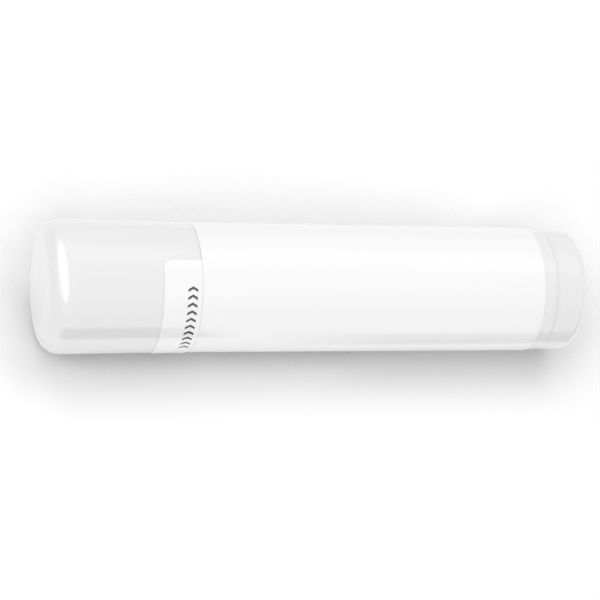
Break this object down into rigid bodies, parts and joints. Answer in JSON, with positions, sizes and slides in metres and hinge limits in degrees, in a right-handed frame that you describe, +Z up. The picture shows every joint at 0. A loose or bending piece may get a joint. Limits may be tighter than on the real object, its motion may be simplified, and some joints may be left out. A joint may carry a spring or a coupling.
{
  "type": "lip balm stick",
  "caption": "Closed twist-up lip balm stick lying on its side: round capped barrel with a plain wrap label, a seal tab on the cap and a turning knob that raises the balm.",
  "frame": {"origin": "middle of the box round the closed stick, on the surface that it rests on", "axes": "+X along the stick from the cap's end to the knob's end, +Z up, -Y towards the side that the picture shows"},
  "size_m": [0.0684, 0.0164, 0.0163],
  "materials": {
    "white_plastic": "gloss",
    "knob_plastic": "gloss",
    "label_film": "satin",
    "balm_wax": "satin"
  },
  "bodies": {
    "barrel": {"barrel": "white_plastic", "label": "label_film"},
    "knob": {"turning_screw": "knob_plastic"},
    "elevator": {"elevator_cup": "knob_plastic", "balm": "balm_wax"},
    "cap": {"cap": "white_plastic", "seal_tab": "label_film"}
  },
  "joints": [
    {"name": "knob_turn", "type": "hinge", "parent": "barrel", "child": "knob", "pos_m": [0.0342, 0, 0.00816], "axis": [-1, 0, 0], "range_deg": [0, 3960]},
    {"name": "balm_lift", "type": "slide", "parent": "barrel", "child": "elevator", "axis": [-1, 0, 0], "range_m": [0, 0.0495]},
    {"name": "cap_pull", "type": "slide", "parent": "elevator", "child": "cap", "axis": [-1, 0, 0], "range_m": [0, 0.04]}
  ],
  "couplings": [
    {"joint": "knob_turn", "follows": "balm_lift", "rad_per_m": 1396.3}
  ]
}
